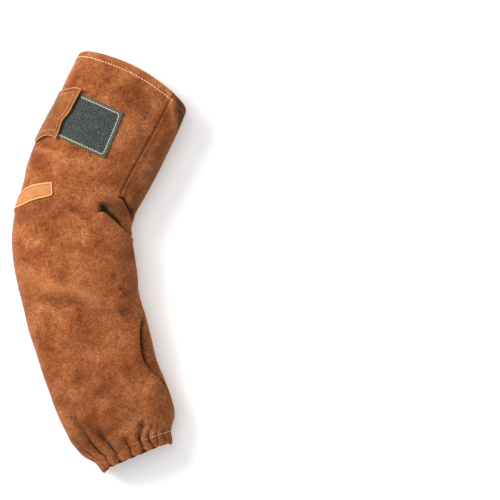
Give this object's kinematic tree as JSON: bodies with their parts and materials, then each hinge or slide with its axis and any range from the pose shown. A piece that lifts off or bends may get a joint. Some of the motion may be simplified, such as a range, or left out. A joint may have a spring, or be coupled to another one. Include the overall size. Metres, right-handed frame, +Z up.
{
  "type": "welding sleeve",
  "caption": "Split leather welding sleeve with bent elbow, hemmed upper opening, closing tab with hook and loop, plain label and gathered elastic wrist.",
  "frame": {"origin": "centre of the overall box in plan, at the floor the sleeve lies on", "axes": "+Z up off the floor, +Y toward the upper-arm opening, +X toward the inner side of the elbow's bend"},
  "size_m": [0.2268, 0.5488, 0.0813],
  "materials": {
    "rust_suede": "rust brown split leather with a matte nap",
    "tab_leather": "rust brown leather with paler cut edges",
    "loop_fabric": "charcoal loop fastener pile",
    "hook_fabric": "dark hook fastener tape",
    "label_leather": "smooth tan leather, satin"
  },
  "bodies": {
    "root": {"sleeve_shell": "rust_suede", "loop_patch": "loop_fabric", "hook_patch": "hook_fabric", "closing_tab": "tab_leather", "label_patch": "label_leather"}
  },
  "joints": []
}
